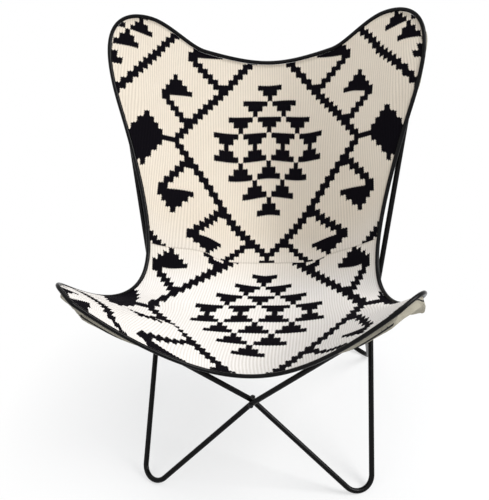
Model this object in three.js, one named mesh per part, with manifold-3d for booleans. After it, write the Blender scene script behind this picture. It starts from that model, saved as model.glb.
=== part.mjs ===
// Butterfly sling chair: two closed loops of bent steel rod that cross at four points and carry a
// sling of flat-woven wool on their four horns. Millimetres, +Z up, +X to the right as one faces the
// chair, +Y towards its back. The origin lies on the floor under the middle of the chair.
import * as THREE from 'three';
import { mergeVertices } from 'three/addons/utils/BufferGeometryUtils.js';
import Module from 'manifold-3d';

const wasm = await Module();
wasm.setup();

// Rod frame. A corner is where two straight runs of rod would meet if the bend there were sharp,
// and depths run back from the corners of the front feet.
const rodDiameter = 12;
const frontFootHalfSpread = 258;
const backFootHalfSpread = 230;
const footDepth = 540;
const frontCrossingDepth = 55;
const frontCrossingHeight = 210;
const sideCrossingHalfWidth = 240;
const sideCrossingDepth = 260;
const sideCrossingHeight = 280;
const backCrossingDepth = 528;
const backCrossingHeight = 210;
const frontHornHalfWidth = 366;
const frontHornDepth = -43;
const frontHornHeight = 551;
const backHornWider = 24;
const backHornDepth = 668;
const backHornHeight = 1092;
const footBendRadius = 35;
const frontHornBendRadius = 26;
const backHornBendRadius = 59;
const crossingBendRadius = 60;
const footFlat = 0.5;
const contactGap = 0.3;

// Bolts that clamp the two loops together where they cross.
const boltDiameter = 6;
const boltHoleDiameter = 6.6;
const boltHeadDiameter = 12;
const boltHeadHeight = 4;
const boltTipLength = 2;
const washerDiameter = 11;
const washerThickness = 1.2;
const nutAcrossFlats = 10;
const nutHeight = 5;
const spotFaceDepth = 0.8;

// Sling layers.
const faceThickness = 3;
const liningThickness = 1.2;
const pocketThickness = 1.6;
const pipingDiameter = 9;

// Sling shape. The centre line runs from the front lip over the seat to above the back's top, and
// the side line from off the front horn past the side crossing to off the back horn.
const lipForward = 39;
const lipRise = 101;
const kneeBehindSide = 170;
const kneeBelowSide = 30;
const crownBelowHorn = 123;
const kneeWeight = 2.7;
const frontTipOut = 36;
const frontTipForward = 18;
const frontTipRise = 61;
const thighOut = 59;
const thighForward = 32;
const thighDrop = 6;
const thighWeight = 1.1;
const waistIn = 96;
const waistBack = 23;
const waistRise = 13;
const waistWeight = 1.36;
const backTipOut = 74;
const backTipForward = 46;
const backTipRise = 8;
const frontDish = 0.44;
const backDish = 0.26;
const paceSpread = 0.72;

// Sling outline on the sheet: "across" runs 0 at the middle to 1 at the side line, "along" 0 at the
// front lip to 1 at the crown of the centre line.
const frontBulge = 0.06;
const frontLobeAcross = 0.764;
const frontLobeAlong = 0.32;
const frontLobeWeight = 0.2;
const topAlong = 0.838;
const lobeRise = 0.025;
const lobeAcross = 0.653;
const valleyAcross = 0.38;
const backLobeAlong = 0.732;
const backLobeWeight = 0.727;
const poleAlong = 0.45;

// Pockets that slip over the horns.
const frontPocketReach = 150;
const backPocketReach = 120;
const pocketSteepness = 2;
const pocketSlope = 0.12;
const seamInset = 1.5;
const pocketEase = 3;
const rodFeelReach = 78;

const rodRadius = rodDiameter / 2;
const backHornHalfWidth = frontHornHalfWidth + backHornWider;
const pitch = rodDiameter + contactGap;
const V = (x, y, z) => new THREE.Vector3(x, y, z);
const mirrored = (p) => V(-p.x, p.y, p.z);
const span = (from, to, count) => Array.from({ length: count }, (_, i) => from + ((to - from) * i) / count);

// Corners of the frame on the right-hand side and on the middle plane.
const frontCrossing = V(0, frontCrossingDepth, frontCrossingHeight);
const backCrossing = V(0, backCrossingDepth, backCrossingHeight);
const sideCrossing = V(sideCrossingHalfWidth, sideCrossingDepth, sideCrossingHeight);
const frontHorn = V(frontHornHalfWidth, frontHornDepth, frontHornHeight);
const backHorn = V(backHornHalfWidth, backHornDepth, backHornHeight);

// The arc that rounds a corner between two runs, as points with their tangents.
function bend(before, corner, after, radius) {
  const arriving = corner.clone().sub(before).normalize();
  const leaving = after.clone().sub(corner).normalize();
  const turn = arriving.angleTo(leaving);
  const inward = leaving.clone().sub(arriving).normalize();
  const centre = corner.clone().addScaledVector(inward, radius / Math.cos(turn / 2));
  const steps = Math.max(3, Math.ceil(turn / THREE.MathUtils.degToRad(14)));
  const axis = arriving.clone().cross(leaving).normalize();
  const start = corner.clone().addScaledVector(arriving, -radius * Math.tan(turn / 2));
  const spoke = start.sub(centre);
  return Array.from({ length: steps + 1 }, (_, i) => {
    const angle = (turn * i) / steps;
    return {
      point: spoke.clone().applyAxisAngle(axis, angle).add(centre),
      tangent: arriving.clone().applyAxisAngle(axis, angle),
    };
  });
}

// A foot's corner lies below the floor, so deep that its bend just reaches the floor.
function footCorner(spot, before, after) {
  const corner = spot.clone();
  const settle = 6;
  for (let i = 0; i < settle; i += 1) {
    const lowest = Math.min(...bend(before, corner, after, footBendRadius).map((s) => s.point.z));
    corner.z += rodRadius - footFlat - lowest;
  }
  return corner;
}
const frontFoot = V(frontFootHalfSpread, 0, 0);
const backFoot = V(backFootHalfSpread, footDepth, 0);

// The way from one loop to the other at a crossing, square to both rods.
function crossingNormal(before, crossing, after) {
  const along = crossing.clone().sub(before).normalize().add(after.clone().sub(crossing).normalize());
  return along.clone().cross(mirrored(along)).normalize();
}
const frontNormal = crossingNormal(mirrored(frontHorn), frontCrossing, frontFoot);
const backNormal = crossingNormal(backHorn, backCrossing, mirrored(backFoot));
const risingBack = backHorn.clone().sub(sideCrossing).normalize()
  .add(sideCrossing.clone().sub(frontFoot).normalize());
const risingFront = frontHorn.clone().sub(sideCrossing).normalize()
  .add(sideCrossing.clone().sub(backFoot).normalize());
const sideNormal = risingBack.cross(risingFront).normalize();
if (sideNormal.x < 0) sideNormal.negate();
if (frontNormal.y > 0) frontNormal.negate();
if (backNormal.y < 0) backNormal.negate();

// Each loop runs horn, crossing, foot, crossing, twice. The loop on the left front horn lies
// outside at the right and back crossings, the other one at the left and front crossings. "apart"
// holds how far the two loops' corners stand apart at each kind of crossing.
function loopCorners(flip, apart) {
  const outside = flip ? -1 : 1;
  const at = (p) => (flip ? mirrored(p) : p.clone());
  const shifted = (p, normal, amount) => p.clone().addScaledVector(normal, amount / 2);
  const front = shifted(frontCrossing, frontNormal, -outside * apart.front);
  const back = shifted(backCrossing, backNormal, outside * apart.back);
  const near = at(shifted(sideCrossing, sideNormal, apart.right));
  const far = at(mirrored(shifted(sideCrossing, sideNormal, -apart.right)));
  return [
    { corner: at(mirrored(frontHorn)), radius: frontHornBendRadius },
    { corner: front, radius: crossingBendRadius },
    { corner: footCorner(at(frontFoot), front, near), radius: footBendRadius },
    { corner: near, radius: crossingBendRadius },
    { corner: at(backHorn), radius: backHornBendRadius },
    { corner: back, radius: crossingBendRadius },
    { corner: footCorner(at(mirrored(backFoot)), back, far), radius: footBendRadius },
    { corner: far, radius: crossingBendRadius },
  ];
}

// A closed path of straight runs and bends, sampled at the bends only.
class RodPath extends THREE.Curve {
  constructor(corners) {
    super();
    this.stations = corners.flatMap(({ corner, radius }, i) => {
      const before = corners.at(i - 1).corner;
      const after = corners[(i + 1) % corners.length].corner;
      return bend(before, corner, after, radius);
    });
  }

  station(u) {
    return this.stations[Math.round(u * this.stations.length) % this.stations.length];
  }

  // Points along the whole path, no further apart than a step.
  points(step) {
    return this.stations.flatMap(({ point }, i) => {
      const next = this.stations[(i + 1) % this.stations.length].point;
      return span(0, 1, Math.ceil(point.distanceTo(next) / step)).map((t) => point.clone().lerp(next, t));
    });
  }

  getPointAt(u, target = V(0, 0, 0)) {
    return target.copy(this.station(u).point);
  }

  getTangentAt(u, target = V(0, 0, 0)) {
    return target.copy(this.station(u).tangent);
  }
}

function toSolid(geometry) {
  const bare = geometry.clone();
  bare.deleteAttribute('normal');
  bare.deleteAttribute('uv');
  const merged = mergeVertices(bare, 1e-4);
  return new wasm.Manifold(new wasm.Mesh({
    numProp: 3,
    vertProperties: new Float32Array(merged.attributes.position.array),
    triVerts: new Uint32Array(merged.index.array),
  }));
}

function toGeometry(solid) {
  const mesh = solid.getMesh();
  const geometry = new THREE.BufferGeometry();
  geometry.setAttribute('position', new THREE.BufferAttribute(new Float32Array(mesh.vertProperties), 3));
  geometry.setIndex(new THREE.BufferAttribute(new Uint32Array(mesh.triVerts), 1));
  geometry.computeVertexNormals();
  return geometry;
}

// Turns a geometry that stands along +Y so that it points along a direction, and moves it.
function place(geometry, direction, point) {
  const turn = new THREE.Quaternion().setFromUnitVectors(V(0, 1, 0), direction);
  return geometry.applyQuaternion(turn).translate(point.x, point.y, point.z);
}

const rodSides = 12;
const boltSides = 12;
const crossings = [
  { name: 'front', point: frontCrossing, out: frontNormal },
  { name: 'back', point: backCrossing, out: backNormal },
  { name: 'right', point: sideCrossing, out: sideNormal },
  { name: 'left', point: mirrored(sideCrossing), out: mirrored(sideNormal) },
];

// The pair of points where two loops come closest around a crossing.
function closest(paths, point) {
  const [first, second] = paths.map((path) => path.points(1)
    .filter((p) => p.distanceTo(point) < 4 * rodDiameter));
  let best = { distance: Infinity };
  for (const a of first) {
    for (const b of second) {
      const distance = a.distanceTo(b);
      if (distance < best.distance) best = { distance, a, b };
    }
  }
  return best;
}

// The bends at the crossings draw the rods off their corners, so the corners are moved until the
// rods touch there with the contact gap left between them.
const apart = { front: pitch, back: pitch, right: pitch };
const loopPaths = () => [new RodPath(loopCorners(false, apart)), new RodPath(loopCorners(true, apart))];
const settling = 5;
for (let i = 0; i < settling; i += 1) {
  const paths = loopPaths();
  for (const { name, point } of crossings) {
    if (name in apart) apart[name] += pitch - closest(paths, point).distance;
  }
}
const loops = loopPaths().map((path, i) => ({
  name: ['frame_loop_left_horn', 'frame_loop_right_horn'][i],
  path,
}));
for (const crossing of crossings) {
  const { a, b, distance } = closest(loops.map(({ path }) => path), crossing.point);
  const line = a.clone().sub(b).normalize();
  crossing.middle = a.clone().add(b).multiplyScalar(0.5);
  crossing.out = line.dot(crossing.out) < 0 ? line.negate() : line;
  crossing.seat = distance / 2 + rodRadius - spotFaceDepth;
}

// A rod loop, drilled and spot-faced for the bolts, with a flat where each foot meets the floor.
function rodLoop(path) {
  const tube = new THREE.TubeGeometry(path, path.stations.length, rodRadius, rodSides, true);
  let solid = toSolid(tube);
  for (const { middle, out, seat } of crossings) {
    const bore = boltHoleDiameter / 2;
    const hole = new THREE.CylinderGeometry(bore, bore, 4 * rodDiameter, boltSides);
    solid = solid.subtract(toSolid(place(hole, out, middle)));
    for (const end of [1, -1]) {
      const width = Math.max(boltHeadDiameter, washerDiameter) / 2 + contactGap;
      const face = new THREE.CylinderGeometry(width, width, rodRadius, boltSides);
      const at = middle.clone().addScaledVector(out, end * (seat + rodRadius / 2));
      solid = solid.subtract(toSolid(place(face, out, at)));
    }
  }
  const depth = rodDiameter;
  const ground = new THREE.BoxGeometry(4 * frontHornHalfWidth, 4 * backHornDepth, depth);
  return toGeometry(solid.subtract(toSolid(ground.translate(0, 0, -depth / 2))));
}

// A domed bolt: its head sits on the outer rod and its shank passes both rods, washer and nut.
function bolt({ middle, out, seat }) {
  const shank = boltDiameter / 2;
  const head = boltHeadDiameter / 2;
  const under = seat + contactGap;
  const tip = -(seat + 2 * contactGap + washerThickness + nutHeight + boltTipLength);
  const dome = [0, 1, 2, 3, 4].map((i) => {
    const angle = (i / 4) * (Math.PI / 2);
    const rise = boltHeadHeight * (0.25 + 0.75 * Math.sin(angle));
    return new THREE.Vector2(head * Math.cos(angle), under + rise);
  });
  dome[4].x = 0;
  const profile = [
    new THREE.Vector2(0, tip),
    new THREE.Vector2(shank, tip),
    new THREE.Vector2(shank, under),
    new THREE.Vector2(head, under),
    ...dome,
  ];
  return place(new THREE.LatheGeometry(profile, boltSides), out, middle);
}

function ring(inner, outer, low, high, segments) {
  return new THREE.LatheGeometry([
    new THREE.Vector2(inner, low),
    new THREE.Vector2(outer, low),
    new THREE.Vector2(outer, high),
    new THREE.Vector2(inner, high),
    new THREE.Vector2(inner, low),
  ], segments);
}

function washer({ middle, out, seat }) {
  const top = -(seat + contactGap);
  const bore = boltHoleDiameter / 2;
  return place(ring(bore, washerDiameter / 2, top - washerThickness, top, boltSides), out, middle);
}

function nut({ middle, out, seat }) {
  const top = -(seat + 2 * contactGap + washerThickness);
  const outer = nutAcrossFlats / Math.sqrt(3);
  const bore = boltHoleDiameter / 2;
  const body = new THREE.CylinderGeometry(outer, outer, nutHeight, 6).translate(0, top - nutHeight / 2, 0);
  const hole = new THREE.CylinderGeometry(bore, bore, 4 * nutHeight, boltSides).translate(0, top, 0);
  return place(toGeometry(toSolid(body).subtract(toSolid(hole))), out, middle);
}

// Rational curve from the first point to the last, drawn towards the points between by their weights.
function drawn(points, weights, t) {
  const sum = V(0, 0, 0);
  let total = 0;
  let ways = 1;
  points.forEach((point, i) => {
    const share = ways * weights[i] * t ** i * (1 - t) ** (points.length - 1 - i);
    sum.addScaledVector(point, share);
    total += share;
    ways *= (points.length - 1 - i) / (i + 1);
  });
  return sum.divideScalar(total);
}

const centreLine = [
  frontCrossing.clone().add(V(0, -lipForward, lipRise)),
  V(0, sideCrossingDepth + kneeBehindSide, sideCrossingHeight - kneeBelowSide),
  V(0, backHornDepth, backHornHeight - crownBelowHorn),
];
const centreWeights = [1, kneeWeight, 1];
const sideLine = [
  frontHorn.clone().add(V(frontTipOut, -frontTipForward, frontTipRise)),
  sideCrossing.clone().add(V(thighOut, -thighForward, -thighDrop)),
  sideCrossing.clone().add(V(-waistIn, waistBack, waistRise)),
  backHorn.clone().add(V(backTipOut, -backTipForward, backTipRise)),
];
const sideWeights = [1, thighWeight, waistWeight, 1];

// Underside of the woven face. Its middle follows the centre line, its side the side line, and in
// between it dishes as a hyperbola does.
function slingPoint(across, along) {
  const t = along - (paceSpread * Math.sin(2 * Math.PI * along)) / (2 * Math.PI);
  const middle = drawn(centreLine, centreWeights, t);
  const side = drawn(sideLine, sideWeights, t);
  const dish = frontDish + (backDish - frontDish) * along;
  const share = (Math.hypot(dish, across) - dish) / (Math.hypot(dish, 1) - dish);
  const point = middle.lerp(side, share);
  point.x = side.x * across;
  return point;
}

function slingNormal(across, along) {
  const step = 1e-3;
  const wide = slingPoint(across + step, along).sub(slingPoint(across - step, along));
  const deep = slingPoint(across, along + step).sub(slingPoint(across, along - step));
  return wide.cross(deep).normalize();
}

// Rounded corner of the outline, as pairs of "across" and "along".
function lobe(from, corner, to, weight, count) {
  const points = [from, corner, to].map(([across, along]) => V(across, along, 0));
  return span(0, 1, count).map((t) => drawn(points, [1, weight, 1], t).toArray().slice(0, 2));
}

// Right half of the outline, from the middle of the front lip to the middle of the top edge.
const lobeAlong = topAlong + lobeRise;
const outlineDetail = [6, 8, 8, 8, 7];
function halfOutline(detail) {
  const [front, frontLobe, side, backLobe, top] = detail;
  const { smoothstep } = THREE.MathUtils;
  const lip = -frontBulge;
  const lipAlong = (across) => lip * smoothstep(across, 0, frontLobeAcross);
  return [
    ...span(0, frontLobeAcross, front).map((across) => [across, lipAlong(across)]),
    ...lobe([frontLobeAcross, lip], [1, lip], [1, frontLobeAlong], frontLobeWeight, frontLobe),
    ...span(frontLobeAlong, backLobeAlong, side).map((along) => [1, along]),
    ...lobe([1, backLobeAlong], [1, lobeAlong], [lobeAcross, lobeAlong], backLobeWeight, backLobe),
    ...span(lobeAcross, 0, top).map((across) => [
      across,
      topAlong + lobeRise * smoothstep(across, valleyAcross, lobeAcross),
    ]),
    [0, topAlong],
  ];
}
function closedOutline() {
  const right = halfOutline(outlineDetail);
  const left = right.slice(1, -1).reverse().map(([across, along]) => [-across, along]);
  return [...right, ...left];
}

// A closed body between two sheets of points with the same layout, joined round their rim.
function sheetBody(upper, lower, faces, rim) {
  const count = upper.length;
  const index = [];
  for (const [a, b, c] of faces) {
    index.push(a, b, c, count + a, count + c, count + b);
  }
  rim.forEach((a, i) => {
    const b = rim[(i + 1) % rim.length];
    index.push(b, a, count + a, b, count + a, count + b);
  });
  const geometry = new THREE.BufferGeometry();
  const points = [...upper, ...lower].flatMap((p) => p.toArray());
  geometry.setAttribute('position', new THREE.Float32BufferAttribute(points, 3));
  geometry.setIndex(index);
  geometry.computeVertexNormals();
  return geometry;
}

// The sling as rings that shrink from its outline to a point in the waist.
const slingRings = [0.18, 0.36, 0.53, 0.68, 0.81, 0.92, 1];
function slingLayer(topOffset, bottomOffset) {
  const outline = closedOutline();
  const places = [[0, poleAlong]];
  for (const share of slingRings) {
    for (const [across, along] of outline) {
      places.push([across * share, poleAlong + (along - poleAlong) * share]);
    }
  }
  const lifted = (offset) => places.map(([across, along]) => slingPoint(across, along)
    .addScaledVector(slingNormal(across, along), offset));
  const around = outline.length;
  const at = (ringNumber, i) => 1 + ringNumber * around + (i % around);
  const faces = [];
  for (let i = 0; i < around; i += 1) {
    faces.push([0, at(0, i), at(0, i + 1)]);
    for (let k = 1; k < slingRings.length; k += 1) {
      faces.push([at(k - 1, i), at(k, i), at(k, i + 1)], [at(k - 1, i), at(k, i + 1), at(k - 1, i + 1)]);
    }
  }
  const rim = Array.from({ length: around }, (_, i) => at(slingRings.length - 1, i));
  return sheetBody(lifted(topOffset), lifted(bottomOffset), faces, rim);
}

// Piping: a round cord cover sewn along the whole edge of the sling.
const pipingSides = 8;
function edgePiping() {
  const outline = closedOutline();
  const radius = pipingDiameter / 2;
  const middle = (faceThickness - liningThickness) / 2;
  const count = outline.length;
  const edge = outline.map(([across, along]) => slingPoint(across, along));
  const points = [];
  outline.forEach(([across, along], i) => {
    const normal = slingNormal(across, along);
    const tangent = edge[(i + 1) % count].clone().sub(edge.at(i - 1)).normalize();
    const out = tangent.cross(normal).normalize();
    const centre = edge[i].clone().addScaledVector(out, radius + contactGap).addScaledVector(normal, middle);
    for (let k = 0; k < pipingSides; k += 1) {
      const angle = (2 * Math.PI * k) / pipingSides;
      points.push(centre.clone().addScaledVector(out, radius * Math.cos(angle))
        .addScaledVector(normal, radius * Math.sin(angle)));
    }
  });
  const index = [];
  for (let i = 0; i < count; i += 1) {
    for (let k = 0; k < pipingSides; k += 1) {
      const next = (i + 1) % count;
      const up = (k + 1) % pipingSides;
      const [a, b] = [i * pipingSides + k, i * pipingSides + up];
      const [c, d] = [next * pipingSides + up, next * pipingSides + k];
      index.push(a, c, b, a, d, c);
    }
  }
  const geometry = new THREE.BufferGeometry();
  geometry.setAttribute('position', new THREE.Float32BufferAttribute(points.flatMap((p) => p.toArray()), 3));
  geometry.setIndex(index);
  geometry.computeVertexNormals();
  return geometry;
}

// Points along both rods, close enough together to feel for their surface.
const rodFeelers = loops.flatMap(({ path }) => path.points(rodRadius));

// How far a pocket has to stand off the sling's underside to clear the rods behind a point there: a
// tent over the rods, steep towards the edge and gentle towards the waist.
function pocketDepth(point, normal) {
  const ridge = rodRadius + contactGap + pocketEase;
  const pole = slingPoint(0, poleAlong);
  const reach = point.distanceTo(pole);
  let depth = contactGap;
  for (const feeler of rodFeelers) {
    const away = feeler.clone().sub(point);
    if (away.length() > rodFeelReach) continue;
    const below = -away.dot(normal);
    const sideways = away.addScaledVector(normal, below).length();
    const slope = feeler.distanceTo(pole) < reach ? pocketSteepness : pocketSlope;
    depth = Math.max(depth, below + Math.min(ridge, ridge * Math.hypot(1, slope) - slope * sideways));
  }
  return depth;
}

// A pocket: a canvas hood under one lobe of the sling, shut along the edge, open towards the waist.
const pocketRows = [0, 0.04, 0.08, 0.12, 0.16, 0.2, 0.24, 0.28, 0.33, 0.42, 0.62, 1];
function hornPocket(stretch, reach) {
  const upper = [];
  const lower = [];
  const pole = slingPoint(0, poleAlong);
  stretch.forEach(([across, along], i) => {
    const bulge = Math.sin((Math.PI * (i + 0.5)) / stretch.length) ** 0.7;
    const edge = slingPoint(across, along);
    for (const row of pocketRows) {
      const fromEdge = seamInset + row * reach * bulge;
      const share = 1 - fromEdge / edge.distanceTo(pole);
      const here = [across * share, poleAlong + (along - poleAlong) * share];
      const normal = slingNormal(...here);
      const under = slingPoint(...here).addScaledVector(normal, -(contactGap + liningThickness));
      const depth = row === 0 ? 2 * contactGap : pocketDepth(under, normal);
      upper.push(under.clone().addScaledVector(normal, -depth));
      lower.push(under.clone().addScaledVector(normal, -(depth + pocketThickness)));
    }
  });
  const rows = pocketRows.length;
  const at = (i, k) => i * rows + k;
  const faces = [];
  const last = stretch.length - 1;
  for (let i = 0; i < last; i += 1) {
    for (let k = 0; k < rows - 1; k += 1) {
      faces.push([at(i, k), at(i + 1, k), at(i + 1, k + 1)], [at(i, k), at(i + 1, k + 1), at(i, k + 1)]);
    }
  }
  const rim = [
    ...stretch.map((_, i) => at(i, 0)),
    ...pocketRows.slice(1, -1).map((_, k) => at(last, k + 1)),
    ...stretch.map((_, i) => at(last - i, rows - 1)),
    ...pocketRows.slice(1, -1).map((_, k) => at(0, rows - 2 - k)),
  ];
  return sheetBody(upper, lower, faces, rim);
}

// The stretch of outline over each lobe, with a little of the straight edge on both sides.
const pocketDetail = [10, 12, 18, 12, 9];
function lobeStretch(isLobe) {
  return halfOutline(pocketDetail).filter(isLobe);
}
const frontLobe = lobeStretch(([across, along]) => along < frontLobeAlong + 0.05 && across > 0.45);
const backLobe = lobeStretch(([across, along]) => along > backLobeAlong && across > 0.45);
const flipSide = (stretch) => stretch.map(([across, along]) => [-across, along]).reverse();

const powderCoat = { color: 0x15151a, roughness: 0.4, metalness: 0.6 };
const zincPlate = { color: 0x2b2b2e, roughness: 0.35, metalness: 0.8 };
const kilim = { color: 0xe9dfd0, roughness: 0.95, metalness: 0 };
const canvas = { color: 0x7d7a68, roughness: 0.9, metalness: 0 };
const hide = { color: 0x141216, roughness: 0.45, metalness: 0 };

const chair = new THREE.Group();
function add(name, geometry, finish) {
  const mesh = new THREE.Mesh(geometry, new THREE.MeshStandardMaterial(finish));
  mesh.name = name;
  chair.add(mesh);
}

for (const { name, path } of loops) add(name, rodLoop(path), powderCoat);
for (const crossing of crossings) {
  add(`${crossing.name}_crossing_bolt`, bolt(crossing), zincPlate);
  add(`${crossing.name}_crossing_washer`, washer(crossing), zincPlate);
  add(`${crossing.name}_crossing_nut`, nut(crossing), zincPlate);
}
add('sling_face', slingLayer(faceThickness, 0), kilim);
add('sling_lining', slingLayer(-contactGap, -contactGap - liningThickness), canvas);
add('edge_piping', edgePiping(), hide);
add('front_right_pocket', hornPocket(frontLobe, frontPocketReach), canvas);
add('front_left_pocket', hornPocket(flipSide(frontLobe), frontPocketReach), canvas);
add('back_right_pocket', hornPocket(backLobe, backPocketReach), canvas);
add('back_left_pocket', hornPocket(flipSide(backLobe), backPocketReach), canvas);

// The chair stands with the middle of its depth over the origin.
const extent = new THREE.Box3().setFromObject(chair);
chair.position.set(0, -(extent.min.y + extent.max.y) / 2, 0);
chair.updateMatrixWorld(true);

export default chair;
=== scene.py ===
"""Looks of a butterfly sling chair: bent rods, woven sling, lining, pockets and piping, in a studio."""

import math

import bpy
import numpy as np
from mathutils import Matrix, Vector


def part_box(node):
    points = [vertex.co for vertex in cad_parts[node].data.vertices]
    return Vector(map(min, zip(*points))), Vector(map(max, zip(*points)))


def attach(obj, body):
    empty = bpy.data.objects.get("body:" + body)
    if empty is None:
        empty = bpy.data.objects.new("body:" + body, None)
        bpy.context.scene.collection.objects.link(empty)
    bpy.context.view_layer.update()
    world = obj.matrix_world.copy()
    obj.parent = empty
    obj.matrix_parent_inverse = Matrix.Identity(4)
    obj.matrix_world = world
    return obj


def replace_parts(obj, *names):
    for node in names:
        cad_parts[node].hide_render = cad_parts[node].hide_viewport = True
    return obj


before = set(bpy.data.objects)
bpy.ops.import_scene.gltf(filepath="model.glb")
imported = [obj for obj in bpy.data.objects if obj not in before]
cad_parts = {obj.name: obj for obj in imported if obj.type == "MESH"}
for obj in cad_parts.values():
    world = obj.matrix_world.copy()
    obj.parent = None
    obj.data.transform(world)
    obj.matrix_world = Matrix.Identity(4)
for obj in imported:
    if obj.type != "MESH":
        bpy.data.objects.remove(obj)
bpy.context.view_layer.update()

# Sizes are in millimetres, as in the part's source: x to the right as seen from the front, depths back
# from the front feet, and z up.
MILLIMETRE = 0.001
FORWARD = np.array([0.0, -1.0, 0.0])
RIGHTWARD = np.array([1.0, 0.0, 0.0])

# Rods: feet, crossings and horns are the corners that their bends round off.
ROD = 12.0
GAP = 0.3
FOOT_FLAT = 0.5
FRONT_FOOT = np.array([258.0, 0.0, 0.0])
BACK_FOOT = np.array([230.0, 540.0, 0.0])
FRONT_CROSSING = np.array([0.0, 55.0, 210.0])
BACK_CROSSING = np.array([0.0, 528.0, 210.0])
SIDE_CROSSING = np.array([240.0, 260.0, 280.0])
FRONT_HORN = np.array([366.0, -43.0, 551.0])
BACK_HORN = np.array([390.0, 668.0, 1092.0])
FOOT_BEND = 35.0
CROSSING_BEND = 60.0
FRONT_HORN_BEND = 26.0
BACK_HORN_BEND = 59.0
CHAIR_MIDDLE = np.array([0.0, 290.0, 420.0])

# Cloth: the thickness of the sling's layers and of the pockets, and the piping's diameter.
FACE = 3.0
LINING = 1.2
POCKET = 1.6
PIPING = 9.0

# The sling's centre and side lines from front to top, each drawn towards its middle points by weights.
CENTRE_LINE = [
    FRONT_CROSSING + [0, -39, 101],
    np.array([0.0, 430.0, 250.0]),
    np.array([0.0, 668.0, 969.0]),
]
CENTRE_WEIGHTS = [1, 2.7, 1]
SIDE_LINE = [
    FRONT_HORN + [36, -18, 61],
    SIDE_CROSSING + [59, -32, -6],
    SIDE_CROSSING + [-96, 23, 13],
    BACK_HORN + [74, -46, 8],
]
SIDE_WEIGHTS = [1, 1.1, 1.36, 1]

# How wide the dish's round bottom is at the front and at the top, as a share of the sling's half width,
# and how much slower the lines run at their ends than on the whole.
FRONT_DISH = 0.44
BACK_DISH = 0.26
PACE = 0.72

# The sling's outline: "across" is 1 at the side line, and "along" is 0 at the middle of the front lip.
BULGE = 0.06
FRONT_LOBE_ACROSS = 0.764
FRONT_LOBE_ALONG = 0.32
FRONT_LOBE_WEIGHT = 0.2
BACK_LOBE_ALONG = 0.732
BACK_LOBE_WEIGHT = 0.727
TOP_ALONG = 0.838
LOBE_RISE = 0.025
LOBE_ACROSS = 0.653
VALLEY_ACROSS = 0.38
POLE = np.array([0.0, 0.45])

# The seam across the waist, in rows of the back's weave: it rises by some rows towards the sides. The
# crease is in millimetres, and the face sinks by a share of it where it meets the piping.
SEAM_ROW = 21.2
SEAM_RISE = 2.2
SEAM_HALF_WIDTH = 20.0
SEAM_SPREAD = 0.45
SEAM_CREASE = 1.4
EDGE_SINK = 0.4
EDGE_BAND = (0.97, 1.0)

# The front wings' folds, in across and along: each leaves the seat's diamond and runs level to the side.
# The cloth stands up there by some millimetres, between two places across and short of the edge.
FOLD_ALONG = 0.182
FOLD_FOOT = -0.033
FOLD_LEAN = 0.485
FOLD_HEIGHT = 3.5
FOLD_STEP = 0.004
FOLD_FADE = 0.03
FOLD_BEGINS = (0.4, 0.55)
FOLD_ENDS = (0.85, 0.97)

# Pockets: how far they run in from the edge, how often they are pulled taut, and the tent that the rods
# make of them, which falls steeply to the edge and gently to the waist.
FRONT_POCKET_REACH = 150.0
BACK_POCKET_REACH = 120.0
FRONT_PULLS = 3
BACK_PULLS = 90
POCKET_INSET = 1.5
POCKET_ROUNDNESS = 0.7
POCKET_END = 0.45
POCKET_FROM_ACROSS = 0.45
POCKET_PAST_LOBE = 0.05
SEWN_GAP = 2 * GAP
RIDGE = ROD / 2 + GAP + 1.5
STEEP = 2.0
GENTLE = 0.12
FEELER_REACH = 78.0

# How fine the meshes are: degrees to a step of a bend, millimetres to a step of a straight run, sides of
# a tube, rings of a layer, points on each part of the outline, and a pocket's rows, which lie closer
# over the rods.
BEND_STEP = 4.0
LEAST_BEND_STEPS = 6
RUN_STEP = 9.0
ROD_SIDES = 24
PIPING_SIDES = 16
FACE_RINGS = 56
LINING_RINGS = 30
RING_CROWDING = 0.9
SLING_DETAIL = (40, 44, 60, 44, 36)
POCKET_DETAIL = (30, 44, 60, 44, 30)
POCKET_ROWS = np.concatenate([[0], np.linspace(0.02, 0.36, 22), np.linspace(0.4, 1, 14)])


def unit(v):
    """Each vector over its own length."""
    return v / np.linalg.norm(v, axis=-1, keepdims=True)


def mirrored(p):
    """The same point on the chair's other side."""
    return p * np.array([-1.0, 1.0, 1.0])


def smooth(x, low, high):
    """0 below low, 1 above high, and 3t^2 - 2t^3 between."""
    t = np.clip((x - low) / (high - low), 0, 1)
    return t * t * (3 - 2 * t)


def drawn(points, weights, t):
    """Rational curve: the mean of the points by binomial shares of t, each times its weight."""
    t = np.asarray(t, float)[..., None]
    last = len(points) - 1
    shares = [math.comb(last, i) * w * t**i * (1 - t) ** (last - i) for i, w in enumerate(weights)]
    return sum(s * p for s, p in zip(shares, points)) / sum(shares)


# Rods.


def bend(before, corner, after, radius):
    """Arc that rounds a corner: cos times the spoke to its start plus sin times the arriving run."""
    arriving, leaving = unit(corner - before), unit(after - corner)
    turn = math.acos(float(arriving @ leaving))
    centre = corner + unit(leaving - arriving) * radius / math.cos(turn / 2)
    spoke = corner - arriving * radius * math.tan(turn / 2) - centre
    steps = max(LEAST_BEND_STEPS, math.ceil(math.degrees(turn) / BEND_STEP))
    angle = np.linspace(0, turn, steps + 1)[:, None]
    points = centre + spoke * np.cos(angle) + arriving * radius * np.sin(angle)
    tangents = arriving * np.cos(angle) - unit(spoke) * np.sin(angle)
    return points, tangents


def foot_corner(spot, before, after, rounds=6):
    """The foot's corner, lowered until its bend just reaches the floor."""
    corner = spot.copy()
    for _ in range(rounds):
        lowest = bend(before, corner, after, FOOT_BEND)[0][:, 2].min()
        corner[2] += ROD / 2 - FOOT_FLAT - lowest
    return corner


def course(before, crossing, after):
    """The way a rod runs through a crossing: the sum of its unit runs to it and from it."""
    return unit(crossing - before) + unit(after - crossing)


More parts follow.
